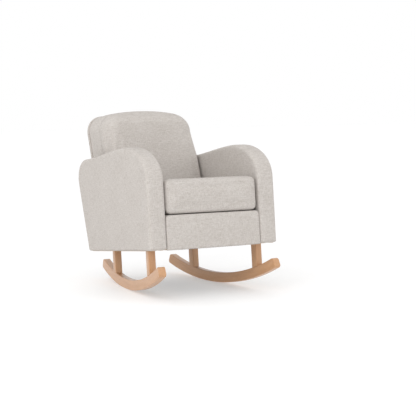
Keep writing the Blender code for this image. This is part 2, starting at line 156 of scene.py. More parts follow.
def stuff(obj, soft, limits):
    # cloth over a filling: pressure swells the cover, the cap and the neighbours hold it back
    remesh(obj, soft["voxel"])
    start, normals = readPoints(obj), readNormals(obj)
    cloth = obj.modifiers.new("filling", "CLOTH")
    settings = cloth.settings
    settings.quality, settings.mass = filling["quality"], filling["mass"]
    settings.tension_stiffness = settings.compression_stiffness = soft["stiffness"]
    settings.shear_stiffness = soft["stiffness"]
    settings.bending_stiffness = filling["bending"]
    settings.use_pressure = True
    settings.uniform_pressure_force = soft["pressure"]
    settings.effector_weights.gravity = 0
    cloth.point_cache.frame_start = 1
    cloth.point_cache.frame_end = filling["frames"]
    for step in range(1, filling["frames"] + 1):
        bpy.context.scene.frame_set(step)
    applyAll(obj)
    bpy.context.scene.frame_set(1)
    move = readPoints(obj) - start
    outward = np.sum(move * normals, axis=1, keepdims=True)
    inward = np.minimum(outward + filling["inward"], 0)
    move -= inward * normals
    length = np.linalg.norm(move, axis=1, keepdims=True)
    move *= np.minimum(1.0, soft["cap"] / np.maximum(length, 1e-9))
    writePoints(obj, start + move)
    writePoints(obj, limits(readPoints(obj)))
    smoothOver(obj, 0.5, soft["ease"])
    writePoints(obj, limits(readPoints(obj)))
    modifier = obj.modifiers.new("fine", "SUBSURF")
    modifier.levels = modifier.render_levels = 1
    applyAll(obj)


def softTop(values, limit, give):
    # values above the limit flatten towards it instead of being cut off
    over = np.maximum(values - limit + give, 0)
    return np.where(over > 0, limit - give + give * (1 - np.exp(-over / give)), values)


def markSeam(obj, distance):
    attribute = obj.data.attributes.new("seamDistance", "FLOAT", "POINT")
    attribute.data.foreach_set("value", np.asarray(distance, dtype=np.float32))


def gather(obj, distance, depth, width):
    # the cover dips where a seam pulls it in
    pull = depth * np.exp(-(distance / width) ** 2)
    writePoints(obj, readPoints(obj) - readNormals(obj) * pull[:, None])


def finishPiece(obj, material, nodes, body="chair", place=None, fill=None):
    obj.data.transform(seatFrame if place is None else place)
    obj.data.materials.clear()
    obj.data.materials.append(material)
    selectOnly(obj)
    if fill is None:
        bpy.ops.object.shade_smooth_by_angle(angle=math.radians(35))
    else:
        bpy.ops.object.shade_smooth()
    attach(obj, body)
    if nodes:
        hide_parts(*nodes)
    return obj


# ---- shader helpers
def addNode(tree, kind, inputs, **settings):
    node = tree.nodes.new(kind)
    for key, value in settings.items():
        setattr(node, key, value)
    for key, value in inputs.items():
        if isinstance(value, bpy.types.NodeSocket):
            tree.links.new(value, node.inputs[key])
        else:
            node.inputs[key].default_value = value
    return node


def calc(tree, operation, *terms):
    return addNode(tree, "ShaderNodeMath", dict(enumerate(terms)), operation=operation).outputs[0]


def blendColour(tree, factor, first, second):
    node = addNode(tree, "ShaderNodeMix", {0: factor, 6: first, 7: second}, data_type="RGBA")
    return node.outputs[2]


def noise(tree, vector, scale, detail=2.0, stretch=(1, 1, 1)):
    mapped = addNode(tree, "ShaderNodeMapping", {"Vector": vector, "Scale": stretch})
    node = addNode(tree, "ShaderNodeTexNoise",
                   {"Vector": mapped.outputs[0], "Scale": scale, "Detail": detail})
    return node.outputs[0]


def ramp(tree, value, low, high, toLow=0.0, toHigh=1.0):
    node = addNode(tree, "ShaderNodeMapRange", {
        "Value": value, "From Min": low, "From Max": high, "To Min": toLow, "To Max": toHigh,
    }, interpolation_type="SMOOTHSTEP")
    return node.outputs[0]


def newGroup(name, inputs, outputs):
    tree = bpy.data.node_groups.new(name, "ShaderNodeTree")
    kinds = {"float": "NodeSocketFloat", "vector": "NodeSocketVector", "colour": "NodeSocketColor"}
    for direction, sockets in (("INPUT", inputs), ("OUTPUT", outputs)):
        for label, kind in sockets:
            tree.interface.new_socket(label, in_out=direction, socket_type=kinds[kind])
    start = tree.nodes.new("NodeGroupInput")
    end = tree.nodes.new("NodeGroupOutput")
    return tree, start.outputs, end.inputs


def weaveGroup():
    tree, given, out = newGroup(
        "plainWeave",
        [("Vector", "vector"), ("Normal", "vector"), ("Threads", "float"), ("Light", "colour"),
         ("Dark", "colour"), ("Slub", "float"), ("Seam", "float")],
        [("Colour", "colour"), ("Roughness", "float"), ("Height", "float")],
    )
    link = tree.links.new
    turns = calc(tree, "MULTIPLY", given["Threads"], math.pi)
    scaled = addNode(tree, "ShaderNodeVectorMath", {0: given["Vector"]}, operation="SCALE")
    link(turns, scaled.inputs["Scale"])
    wobble = noise(tree, given["Vector"], 60.0, 1.0)
    axes = addNode(tree, "ShaderNodeSeparateXYZ", {0: scaled.outputs[0]}).outputs
    drift = calc(tree, "MULTIPLY", wobble, 2.4)
    sines = [calc(tree, "SINE", calc(tree, "ADD", axes[i], drift)) for i in range(3)]
    facing = addNode(tree, "ShaderNodeSeparateXYZ", {0: given["Normal"]}).outputs
    weights = [calc(tree, "MULTIPLY", facing[i], facing[i]) for i in range(3)]
    weave = 0.0
    for i, (j, k) in enumerate(((1, 2), (0, 2), (0, 1))):
        part = calc(tree, "MULTIPLY", calc(tree, "MULTIPLY", sines[j], sines[k]), weights[i])
        weave = calc(tree, "ADD", weave, part)
    warp = noise(tree, given["Vector"], 26.0, 3.0, (12.0, 12.0, 2.0))
    weft = noise(tree, given["Vector"], 26.0, 3.0, (2.0, 2.0, 12.0))
    specks = calc(tree, "SUBTRACT", noise(tree, given["Vector"], 430.0, 1.0), 0.5)
    slubs = calc(tree, "SUBTRACT", calc(tree, "ADD", warp, weft), 1.0)
    slubs = calc(tree, "ADD", slubs, specks)
    slubs = calc(tree, "MULTIPLY", slubs, given["Slub"])
    mottle = calc(tree, "SUBTRACT", noise(tree, given["Vector"], 9.0, 2.0), 0.5)
    # seam lines: the mask dips the bump height as real relief and darkens the tone as painted shade
    # in the seam's groove
    seamGap = calc(tree, "ABSOLUTE", given["Seam"])
    seamShadeAndDip = ramp(tree, seamGap, 0.0004, 0.0019, 1.0, 0.0)
    tone = calc(tree, "ADD", calc(tree, "MULTIPLY", weave, 0.16), 0.62)
    tone = calc(tree, "ADD", tone, slubs)
    tone = calc(tree, "ADD", tone, calc(tree, "MULTIPLY", mottle, 0.30))
    # painted shade: the tone is darkened along the seams
    tone = calc(tree, "SUBTRACT", tone, calc(tree, "MULTIPLY", seamShadeAndDip, 0.55))
    tone = addNode(tree, "ShaderNodeClamp", {0: tone}).outputs[0]
    link(blendColour(tree, tone, given["Dark"], given["Light"]), out["Colour"])
    link(calc(tree, "SUBTRACT", 0.95, calc(tree, "MULTIPLY", tone, 0.12)), out["Roughness"])
    height = calc(tree, "ADD", calc(tree, "MULTIPLY", weave, 0.5),
                  calc(tree, "MULTIPLY", slubs, 1.6))
    height = calc(tree, "SUBTRACT", height, calc(tree, "MULTIPLY", seamShadeAndDip, 2.5))
    link(height, out["Height"])
    return tree


def grainGroup():
    # Vector's Y runs along the grain
    tree, given, out = newGroup(
        "woodGrain",
        [("Vector", "vector"), ("Light", "colour"), ("Dark", "colour"), ("Fleck", "float")],
        [("Colour", "colour"), ("Roughness", "float"), ("Height", "float")],
    )
    link = tree.links.new
    bands = noise(tree, given["Vector"], 9.0, 3.0, (9.0, 0.7, 9.0))
    lines = noise(tree, given["Vector"], 40.0, 4.0, (14.0, 0.5, 14.0))
    flecks = noise(tree, given["Vector"], 260.0, 1.0, (3.0, 0.55, 3.0))
    fleckMask = calc(tree, "MULTIPLY", ramp(tree, flecks, 0.60, 0.72), given["Fleck"])
    tone = calc(tree, "ADD", calc(tree, "MULTIPLY", bands, 0.9), calc(tree, "MULTIPLY", lines, 0.7))
    tone = calc(tree, "SUBTRACT", tone, 0.35)
    tone = calc(tree, "SUBTRACT", tone, fleckMask)
    tone = addNode(tree, "ShaderNodeClamp", {0: tone}).outputs[0]
    link(blendColour(tree, tone, given["Dark"], given["Light"]), out["Colour"])
    link(calc(tree, "ADD", calc(tree, "MULTIPLY", fleckMask, 0.25), 0.36), out["Roughness"])
    link(calc(tree, "SUBTRACT", lines, fleckMask), out["Height"])
    return tree


# painted highlight: a mask along rounded edges, broken into patches, used to lighten the colour
# there as if the edges caught the light
def edgeHighlightGroup():
    tree, given, out = newGroup("edgeWear", [("Width", "float"), ("Vector", "vector")],
                                [("Mask", "float")])
    rounded = addNode(tree, "ShaderNodeBevel", {"Radius": given["Width"]}, samples=4)
    flat = addNode(tree, "ShaderNodeNewGeometry", {})
    close = addNode(tree, "ShaderNodeVectorMath",
                    {0: rounded.outputs[0], 1: flat.outputs["Normal"]}, operation="DOT_PRODUCT")
    edge = ramp(tree, close.outputs["Value"], 0.80, 0.995, 1.0, 0.0)
    patchy = ramp(tree, noise(tree, given["Vector"], 45.0, 3.0), 0.35, 0.70)
    tree.links.new(calc(tree, "MULTIPLY", edge, patchy), out["Mask"])
    return tree


plainWeave, woodGrain, edgeWear = weaveGroup(), grainGroup(), edgeHighlightGroup()


def startMaterial(name):
    material = bpy.data.materials.new(name)
    material.use_nodes = True
    tree = material.node_tree
    return material, tree, tree.nodes["Principled BSDF"].inputs


def placeGroup(tree, group, inputs):
    return addNode(tree, "ShaderNodeGroup", inputs, node_tree=group).outputs


def addRelief(tree, shader, height, distance):
    bump = addNode(tree, "ShaderNodeBump",
                   {"Height": height, "Distance": distance, "Strength": 1.0})
    tree.links.new(bump.outputs[0], shader["Normal"])


def clothMaterial(name, finish):
    material, tree, shader = startMaterial(name)
    at = addNode(tree, "ShaderNodeTexCoord", {}).outputs
    inputs = {"Vector": at["Object"], "Normal": at["Normal"], "Threads": finish["threads"],
              "Light": (*finish["light"], 1), "Dark": (*finish["dark"], 1),
              "Slub": finish["slub"], "Seam": 1.0}
    if finish.get("seamed"):
        inputs["Seam"] = addNode(tree, "ShaderNodeAttribute", {},
                                 attribute_name="seamDistance").outputs["Fac"]
    weave = placeGroup(tree, plainWeave, inputs)
    tree.links.new(weave["Colour"], shader["Base Color"])
    tree.links.new(weave["Roughness"], shader["Roughness"])
    shader["Sheen Weight"].default_value = finish["sheen"]
    shader["Sheen Roughness"].default_value = 0.6
    shader["Specular IOR Level"].default_value = 0.2
    addRelief(tree, shader, weave["Height"], finish["relief"])
    return material


def grainAlong(tree, axis, centre):
    # puts the grain's own length on Y, straight along an axis or round a rocker's arc
    at = addNode(tree, "ShaderNodeTexCoord", {}).outputs["Object"]
    if axis != "arc":
        turn = {"x": (0, 0, math.pi / 2), "y": (0, 0, 0), "z": (math.pi / 2, 0, 0)}[axis]
        return addNode(tree, "ShaderNodeMapping", {"Vector": at, "Rotation": turn}).outputs[0]
    moved = addNode(tree, "ShaderNodeMapping",
                    {"Vector": at, "Location": -Vector(centre)}).outputs[0]
    x, y, z = addNode(tree, "ShaderNodeSeparateXYZ", {0: moved}).outputs
    reach = calc(tree, "SQRT", calc(tree, "ADD", calc(tree, "MULTIPLY", y, y),
                                    calc(tree, "MULTIPLY", z, z)))
    turned = calc(tree, "ARCTAN2", y, calc(tree, "MULTIPLY", z, -1.0))
    return addNode(tree, "ShaderNodeCombineXYZ", {0: x, 1: turned, 2: reach}).outputs[0]


def woodMaterial(name, finish, axis, centre=None):
    material, tree, shader = startMaterial(name)
    along = grainAlong(tree, axis, centre)
    grain = placeGroup(tree, woodGrain, {"Vector": along, "Light": (*finish["light"], 1),
                                         "Dark": (*finish["dark"], 1), "Fleck": finish["fleck"]})
    # painted highlight: the edges are blended towards a lighter colour, and are also made a little
    # rougher
    paintedEdgeHighlight = placeGroup(tree, edgeWear, {"Width": finish["paintedEdgeHighlight"], "Vector": along})["Mask"]
    edgeHighlightColour = tuple(min(1.0, c * 1.12) for c in finish["light"])
    factor = calc(tree, "MULTIPLY", paintedEdgeHighlight, 0.5)
    tree.links.new(blendColour(tree, factor, grain["Colour"], (*edgeHighlightColour, 1)), shader["Base Color"])
    rough = calc(tree, "ADD", grain["Roughness"], calc(tree, "MULTIPLY", paintedEdgeHighlight, 0.15))
    tree.links.new(calc(tree, "ADD", rough, finish["matt"]), shader["Roughness"])
    shader["Coat Weight"].default_value = finish.get("varnish", 0.0)
    shader["Coat Roughness"].default_value = 0.22
    addRelief(tree, shader, grain["Height"], 0.00025)
    return material


def speckledMaterial(name, finish):
    # moulded, foamed or plated surfaces: a base colour broken by fine grains
    material, tree, shader = startMaterial(name)
    at = addNode(tree, "ShaderNodeTexCoord", {}).outputs["Object"]
    grains = noise(tree, at, finish["grains"], 3.0)
    patches = noise(tree, at, 14.0, 2.0)
    tone = calc(tree, "ADD", calc(tree, "MULTIPLY", grains, 0.7),
                calc(tree, "MULTIPLY", patches, 0.3))
    colour = blendColour(tree, ramp(tree, tone, 0.3, 0.7), (*finish["dark"], 1),
                         (*finish["light"], 1))
    # painted highlight: edges are blended towards the light colour by the finish's edge-highlight
    # strength
    paintedEdgeHighlight = placeGroup(tree, edgeWear, {"Width": 0.0008, "Vector": at})["Mask"]
    tree.links.new(blendColour(tree, calc(tree, "MULTIPLY", paintedEdgeHighlight, finish["paintedEdgeHighlight"]), colour,
                               (*finish["light"], 1)), shader["Base Color"])
    tree.links.new(ramp(tree, grains, 0.2, 0.8, finish["rough"] - 0.08, finish["rough"] + 0.08),
                   shader["Roughness"])
    shader["Metallic"].default_value = finish.get("metal", 0.0)
    addRelief(tree, shader, grains, finish["relief"])
    return material


linen = {"threads": 620.0, "light": (0.625, 0.588, 0.556), "dark": (0.430, 0.388, 0.350),
         "slub": 1.3, "sheen": 0.08, "relief": 0.0007, "seamed": True}
linenPlain = dict(linen, seamed=False)
deckCloth = {"threads": 900.0, "light": (0.56, 0.53, 0.49), "dark": (0.40, 0.37, 0.33),
             "slub": 0.3, "sheen": 0.0, "relief": 0.0003, "seamed": True}
dustCloth = {"threads": 500.0, "light": (0.035, 0.035, 0.036), "dark": (0.015, 0.015, 0.016),
             "slub": 0.9, "sheen": 0.0, "relief": 0.0003}
beltCloth = {"threads": 380.0, "light": (0.10, 0.10, 0.10), "dark": (0.03, 0.03, 0.03),
             "slub": 0.4, "sheen": 0.0, "relief": 0.0006}
tapeCloth = {"threads": 1400.0, "light": (0.60, 0.565, 0.53), "dark": (0.42, 0.39, 0.36),
             "slub": 0.2, "sheen": 0.0, "relief": 0.0002}
# the edge setting in each finish is the width of the painted edge highlight for wood, and its
# strength for foam and zinc
beech = {"light": (0.595, 0.345, 0.185), "dark": (0.45, 0.232, 0.108), "fleck": 0.35,
         "paintedEdgeHighlight": 0.0025, "matt": -0.02, "varnish": 0.35}
frameTimber = {"light": (0.66, 0.52, 0.35), "dark": (0.50, 0.36, 0.21), "fleck": 0.1,
               "paintedEdgeHighlight": 0.002, "matt": 0.25}
plywood = {"light": (0.68, 0.54, 0.37), "dark": (0.52, 0.38, 0.23), "fleck": 0.2,
           "paintedEdgeHighlight": 0.001, "matt": 0.25}
foamFinish = {"light": (0.84, 0.80, 0.66), "dark": (0.70, 0.65, 0.50), "grains": 900.0,
              "paintedEdgeHighlight": 0.2, "rough": 0.9, "relief": 0.0006}
zincFinish = {"light": (0.70, 0.70, 0.68), "dark": (0.48, 0.48, 0.47), "grains": 320.0,
              "paintedEdgeHighlight": 0.6, "rough": 0.32, "relief": 0.0001, "metal": 1.0}

linenCloth = clothMaterial("oatmealLinen", linen)
linenFlat = clothMaterial("oatmealLinenPlain", linenPlain)
deckMaterial = clothMaterial("deckCloth", deckCloth)
dustMaterial = clothMaterial("blackDustCloth", dustCloth)
beltMaterial = clothMaterial("elasticWebbing", beltCloth)
tapeMaterial = clothMaterial("zipTape", tapeCloth)
beechUpright = woodMaterial("beechUpright", beech, "z")
timberAcross = woodMaterial("timberAcross", frameTimber, "x")
timberDeep = woodMaterial("timberDeep", frameTimber, "y")
timberUpright = woodMaterial("timberUpright", frameTimber, "z")
plyMaterial = woodMaterial("plywood", plywood, "y")
foamMaterial = speckledMaterial("cutFoam", foamFinish)
zincMaterial = speckledMaterial("zincPlate", zincFinish)
print("materials made")

# ---- arms: one padded shell each, with an upright nose, a long round-over and a round rear corner
arm = {"front": armFrontY, "crest": 0.503, "rearTop": 0.475, "noseDepth": 0.258,
       "noseHeight": 0.173, "rearRadius": 0.100, "edge": 0.017, "hem": 0.002,
       "tighten": 0.65, "tightenFrom": 0.42, "tightenOver": 0.22,
       "start": 0.0015, "give": 0.002, "voxel": 0.0065, "pressure": 3.0, "stiffness": 12.0,
       "cap": 0.005, "ease": 3}


def rearFace(z):
    return chair["depth"] + chair["backSlope"] * z


def armOutline(inset, bottom):
    lean = math.atan(chair["backSlope"])
    noseY = arm["front"] + arm["noseDepth"]
    noseZ = arm["crest"] - arm["noseHeight"]
    noseReach = (arm["noseDepth"] - inset, arm["noseHeight"] - inset)
    nose = arcPoints((noseY, noseZ), noseReach, 180, 90, 24)
    rearZ = arm["rearTop"] - arm["rearRadius"]
    rearY = rearFace(rearZ) - arm["rearRadius"] / math.cos(lean)
    radius = arm["rearRadius"] - inset
    rear = arcPoints((rearY, rearZ), (radius, radius), 90, -math.degrees(lean), 16)
    sweep = []
    for k in range(1, 12):
        t = k / 12
        drop = (arm["crest"] - arm["rearTop"]) * t * t * (3 - 2 * t)
        sweep.append((noseY + (rearY - noseY) * t, arm["crest"] - inset - drop))
    footY = rearFace(bottom) - inset / math.cos(lean)
    return [(arm["front"] + inset, bottom)] + nose + sweep + rear + [(footY, bottom)]


def distanceToLine(points, line):
    best = np.full(len(points), 1e9)
    for a, b in zip(line, line[1:]):
        a, along = np.array(a), np.array(b) - np.array(a)
        t = np.clip((points - a) @ along / (along @ along), 0, 1)
        best = np.minimum(best, np.linalg.norm(points - a - t[:, None] * along, axis=1))
    return best


def buildArm(side, sign):
    inner, outer = chair["innerHalf"] + arm["start"] * 0.4, chair["outerHalf"] - arm["start"]
    rings = []
    for onInner, inset, shift in roundedSteps(arm["edge"]):
        x = inner + shift if onInner else outer - shift
        bottom = arm["hem"] + 0.1 * inset
        outline = []
        for full, drawn in zip(armOutline(arm["start"], bottom),
                               armOutline(arm["start"] + inset, bottom)):
            # the edge is rounder at the nose and tighter at the rear
            rearward = (drawn[0] - arm["tightenFrom"]) / arm["tightenOver"]
            share = 1 - arm["tighten"] * min(max(rearward, 0), 1)
            outline.append([a + (b - a) * share for a, b in zip(full, drawn)])
        rings.append([(sign * x, y, z) for y, z in outline])
    obj = loftedShell("armUpholstery" + side.capitalize(), rings)

    def limits(points):
        reach = points[:, 0] * sign
        reach = np.clip(reach, chair["innerHalf"], None)
        points[:, 0] = sign * softTop(reach, chair["outerHalf"], arm["give"])
        points[:, 2] = np.maximum(points[:, 2], 0.0)
        return points

    stuff(obj, arm, limits)
    return finishPiece(obj, linenFlat, ["arm_cover_" + side], fill=0.9)


for armSide, armSign in (("left", -1), ("right", 1)):
    buildArm(armSide, armSign)
print("arms done")

# ---- back: rolled front edge, side and top bands behind a seam, flat outside panel
back = {"top": 0.716, "thick": 0.263, "crown": 1.300, "corner": 0.095, "sideGap": 0.001,
        "edge": 0.050, "edgeDepth": 0.105, "edgeLow": 0.014, "taper": (0.460, 0.590),
        "panel": 0.018, "tuck": 0.005, "letGo": 0.050, "give": 0.005,
        "seamDepth": 0.100, "seamDip": 0.0016, "seamWidth": 0.009,
        "start": 0.003, "voxel": 0.0065, "pressure": 3.0, "stiffness": 10.0, "cap": 0.006,
        "ease": 8}


def backOutline(inset, bottom):
    half = chair["innerHalf"] - back["sideGap"]
    centreX = half - back["corner"]
    join = math.asin(centreX / (back["crown"] - back["corner"]))
    crownZ = back["top"] - back["crown"]
    centreZ = crownZ + (back["crown"] - back["corner"]) * math.cos(join)
    radius = back["corner"] - inset
    corner = arcPoints((centreX, centreZ), (radius, radius), 0, 90 - math.degrees(join), 10)
    reach = back["crown"] - inset
    crown = arcPoints((0, crownZ), (reach, reach), 90 - math.degrees(join),
                      90 + math.degrees(join), 14)
    right = [(half - inset, bottom)] + corner
    return right + crown[1:-1] + [(-x, z) for x, z in reversed(right)]


def backRing(depth, start):
    roll = 1 - math.sqrt(max(0.0, 1 - (1 - min(depth / back["edgeDepth"], 1.0)) ** 2))
    low, high = back["taper"]
    half = chair["innerHalf"] - back["sideGap"] - start
    right = []
    for k in range(8):
        z = chair["seatLine"] + start * 0.5 if k == 0 else low + (high - low) * (k - 1) / 6
        share = max(0.0, (z - low) / (high - low))
        drawnIn = back["edgeLow"] + (back["edge"] - back["edgeLow"]) * share
        right.append((half - roll * drawnIn, z))
    top = backOutline(start + roll * back["edge"], low)[1:-1]
    return right + top + [(-x, z) for x, z in reversed(right)]


def depthBehindFront(points):
    return points[:, 1] - (rearFace(points[:, 2]) - back["thick"])


def buildBackPad():
    start = back["start"]
    rings = []
    for t in (0.0, 0.03, 0.09, 0.19, 0.32, 0.48, 0.70, 1.0):
        depth = back["edgeDepth"] * t
        rings.append([(x, rearFace(z) - back["thick"] + max(depth, start), z)
                      for x, z in backRing(depth, start)])
    tail = back["thick"] - back["panel"] + back["tuck"]
    rings.append([(x, rearFace(z) - back["thick"] + tail, z) for x, z in backRing(tail, start)])
    obj = loftedShell("backPad", rings)

    def limits(points):
        # the arms press the sides flat, and let go above their tops
        above = arm["crest"] + 0.4 * back["letGo"]
        pressed = np.clip((above - points[:, 2]) / back["letGo"], 0, 1)
        reach = np.abs(points[:, 0])
        held = softTop(reach, chair["innerHalf"] - back["sideGap"], back["give"])
        points[:, 0] = np.sign(points[:, 0]) * (reach + (held - reach) * pressed)
        points[:, 2] = np.maximum(points[:, 2], chair["seatLine"])
        behind = rearFace(points[:, 2]) - back["panel"] + back["tuck"]
        points[:, 1] = np.minimum(points[:, 1], behind)
        return points

    stuff(obj, back, limits)
    distance = depthBehindFront(readPoints(obj)) - back["seamDepth"]
    gather(obj, distance, back["seamDip"], back["seamWidth"])
    markSeam(obj, distance)
    return finishPiece(obj, linenCloth, ["back_cover"], fill=0.85)


buildBackPad()


def panelShell(name, outline, place, insets):
    # thin upholstered panel: the same outline at several depths, drawn in at its edges
    return loftedShell(name, [[place(x, z, depth) for x, z in outline(inset)]
                              for inset, depth in insets])


outsideBack = {"round": 0.006, "crown": 0.003, "crownFade": 0.05, "setIn": 0.001,
               "seamInset": 0.012, "voxel": 0.0055}


def buildOutsideBack():
    r = outsideBack["round"]
    steps = [(0.0004, -back["panel"] + 0.0005), (0.0, -back["panel"] + 0.003), (0.0, -r)]
    steps += [(r * (1 - math.cos(a)), -r * (1 - math.sin(a)))
              for a in (math.radians(d) for d in (22.5, 45, 67.5, 90))]
    obj = panelShell("outsideBackPanel", lambda inset: backOutline(inset, 0.001 + inset),
                     lambda x, z, depth: (x, rearFace(z) + depth, z), steps)
    remesh(obj, outsideBack["voxel"])
    smoothOver(obj, 0.5, 3)
    points = readPoints(obj)
    rim = backOutline(0, 0.0)
    toEdge = distanceToLine(points[:, [0, 2]], rim + rim[:1])
    rear = np.clip((points[:, 1] - rearFace(points[:, 2]) + back["panel"]) / back["panel"], 0, 1)
    crown = outsideBack["crown"] * rear * (1 - np.exp(-toEdge / outsideBack["crownFade"]))
    points[:, 1] += crown - outsideBack["setIn"]
    writePoints(obj, points)
    markSeam(obj, toEdge - outsideBack["seamInset"] + (1 - rear))
    return finishPiece(obj, linenCloth, ["outside_back_panel"], fill=0.7)


buildOutsideBack()
print("back done")

# ---- front border and seat deck
frontBorder = {"depth": 0.018, "top": 0.1652, "corner": 0.020, "crown": 0.004,
               "crownFade": 0.02, "round": 0.005, "voxel": 0.004}


def buildFrontBorder():
    high = chair["innerHalf"]
    r, top = frontBorder["round"], frontBorder["top"]

    def outline(inset):
        corner = frontBorder["corner"]
        reach = corner - inset
        points = [(high - inset, inset * 0.4)]
        points += arcPoints((high - corner, top - corner), (reach, reach), 0, 90, 5)
        return points + [(-x, z) for x, z in reversed(points)]

    steps = [(r, 0.0), (r * 0.62, 0.0004), (r * 0.29, r * 0.29), (r * 0.08, r * 0.62), (0, r),
             (0, frontBorder["depth"])]
    obj = panelShell("frontBorder", outline, lambda x, z, depth: (x, depth, z), steps)
    remesh(obj, frontBorder["voxel"])
    smoothOver(obj, 0.5, 2)
    points = readPoints(obj)
    fade = frontBorder["crownFade"]
    edge = np.minimum.reduce([high - np.abs(points[:, 0]), top - points[:, 2],
                              points[:, 2] + fade])
    front = np.clip(1 - points[:, 1] / frontBorder["depth"], 0, 1)
    points[:, 1] -= frontBorder["crown"] * front * (1 - np.exp(-np.maximum(edge, 0) / fade))
    writePoints(obj, points)
    return finishPiece(obj, linenFlat, ["front_panel"], fill=0.5)


seatDeck = {"front": 0.019, "rear": 0.600, "seamAt": 0.100, "upper": 0.155, "dish": 0.0016,
            "flatRim": 0.03, "dishOver": 0.10, "voxel": 0.004,
            "rings": ((0.003, 0.1455), (0.0, 0.148), (0.0, 0.1615), (0.0022, 0.1640),
                      (0.006, 0.1647))}


def buildSeatDeck():
    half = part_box("seat_deck_pad")[1].x
    front, rear = seatDeck["front"], seatDeck["rear"]
    obj = loftedShell("seatDeck", [
        [(-half + i, front + i, z), (half - i, front + i, z), (half - i, rear - i, z),
         (-half + i, rear - i, z)]
        for i, z in seatDeck["rings"]
    ])
    remesh(obj, seatDeck["voxel"])
    smoothOver(obj, 0.5, 2)
    points = readPoints(obj)
    edge = np.minimum.reduce([half - np.abs(points[:, 0]), points[:, 1] - front,
                              rear - points[:, 1]])
    dish = np.clip((edge - seatDeck["flatRim"]) / seatDeck["dishOver"], 0, 1)
    upper = points[:, 2] > seatDeck["upper"]
    points[:, 2] -= seatDeck["dish"] * dish * upper
    writePoints(obj, points)
    upper = points[:, 2] > seatDeck["upper"]
    markSeam(obj, np.where(upper, points[:, 1] - seatDeck["seamAt"], 1.0))
    return finishPiece(obj, deckMaterial, ["seat_deck_pad"], fill=0.6)


buildFrontBorder()
buildSeatDeck()
print("front border and deck done")

# ---- loose seat cushion
cushion = {"front": -0.012, "rear": 0.468, "top": 0.336, "half": 0.2547, "start": 0.006,
           "corner": 0.028, "edge": 0.024, "sideGive": 0.0025, "endGive": 0.002,
           "topRise": 0.004, "topGive": 0.010, "frontRise": 0.006, "frontGive": 0.008,
           "zipHalf": 0.205, "zipGap": 0.0075, "zipDeep": 0.005, "zipFade": (0.004, 0.003),
           "voxel": 0.005, "pressure": 4.0, "stiffness": 9.0, "cap": 0.024, "ease": 6}


def buildCushion():
    s = cushion["start"]
    low = (-cushion["half"] + s, cushion["front"] + s)
    high = (cushion["half"] - s, cushion["rear"] - s)
    bottom, top = chair["seatLine"] + s * 0.3, cushion["top"] - s * 0.8

    def outline(inset):
        corner = cushion["corner"]
        reach = corner - inset
        points = []
        for x, y, turn in ((high[0], high[1], 0), (low[0], high[1], 90),
                           (low[0], low[1], 180), (high[0], low[1], 270)):
            centre = (x - math.copysign(corner, x), y - (corner if y > 0.1 else -corner))
            points += arcPoints(centre, (reach, reach), turn, turn + 90, 7)
        return points

    rings = []
    for onBottom, inset, shift in roundedSteps(cushion["edge"]):
        z = bottom + shift if onBottom else top - shift
        rings.append([(x, y, z) for x, y in outline(inset)])
    obj = loftedShell("seatCushion", rings)

    def limits(points):
        x, y, z = points.T
        points[:, 0] = np.sign(x) * softTop(np.abs(x), cushion["half"], cushion["sideGive"])
        z = -softTop(-z, -chair["seatLine"], cushion["endGive"])
        points[:, 2] = softTop(z, cushion["top"] + cushion["topRise"], cushion["topGive"])
        y = -softTop(-y, cushion["frontRise"] - cushion["front"], cushion["frontGive"])
        points[:, 1] = softTop(y, cushion["rear"], cushion["endGive"])
        return points

    stuff(obj, cushion, limits)
    # the opening that shows the zip, along the middle of the rear side
    points = readPoints(obj)
    middle = (chair["seatLine"] + cushion["top"]) / 2
    fade = cushion["zipFade"]
    past = np.maximum((np.abs(points[:, 0]) - cushion["zipHalf"]) / fade[0],
                      (np.abs(points[:, 2] - middle) - cushion["zipGap"]) / fade[1])
    opening = np.clip(-past, 0, 1) * (points[:, 1] > cushion["rear"] - 0.02)
    points[:, 1] -= cushion["zipDeep"] * opening
    writePoints(obj, points)
    return finishPiece(obj, linenFlat, ["seat_cushion_cover"], body="seat_cushion",
                       fill=0.9)


buildCushion()
print("cushion done")

# ---- rockers and legs
rocker = {"radius": 1.1521, "height": 0.0499, "width": 0.0353, "spacing": 0.5166, "toe": 0.1337,
          "centreY": 0.363, "centreZ": 0.9578, "rear": 24.6, "front": -21.3, "ease": 0.003,
          "tip": 0.011, "rings": 96}
leg = {"depth": 0.0405, "places": {"front": -0.2572, "rear": 0.2702}, "ease": 0.0035}


def rockerPlace(sign):
    return (seatFrame @ Matrix.Translation((sign * rocker["spacing"] / 2, rocker["centreY"], 0))
            @ Matrix.Rotation(sign * rocker["toe"], 4, "Z"))


def pickEdges(obj, test):
    bpy.ops.mesh.select_mode(type="EDGE")
    bpy.ops.mesh.select_all(action="DESELECT")
    bpy.ops.object.mode_set(mode="OBJECT")
    for edge in obj.data.edges:
        a, b = (obj.data.vertices[i].co for i in edge.vertices)
        edge.select = test(a, b)
    bpy.ops.object.mode_set(mode="EDIT")


def roundTips(points):
    # the last rings close up and step in, so that each end finishes in a rounded nose
    middle, half = rocker["radius"] - rocker["height"] / 2, rocker["height"] / 2
    r, depth = rocker["tip"], rocker["centreZ"] - points[:, 2]
    angle = np.arctan2(points[:, 1], depth)
    offset = np.hypot(points[:, 1], depth) - middle
    ring = math.radians(rocker["rear"] - rocker["front"]) * middle / rocker["rings"]
    for tip, way in ((math.radians(rocker["rear"]), 1), (math.radians(rocker["front"]), -1)):
        inward = (tip - angle) * way * middle
        near = inward < 4.5 * ring
        spacing = [0, 0.08 * r, 0.3 * r, 0.65 * r, r, 5 * ring]
        moved = np.interp(inward, [k * ring for k in range(6)], spacing)
        drop = r - np.sqrt(np.maximum(r * r - np.maximum(r - moved, 0) ** 2, 0))
        offset = np.where(near, offset * (1 - drop / half), offset)
        angle = np.where(near, tip - way * moved / middle, angle)
    points[:, 1] = (middle + offset) * np.sin(angle)
    points[:, 2] = rocker["centreZ"] - (middle + offset) * np.cos(angle)
    return points


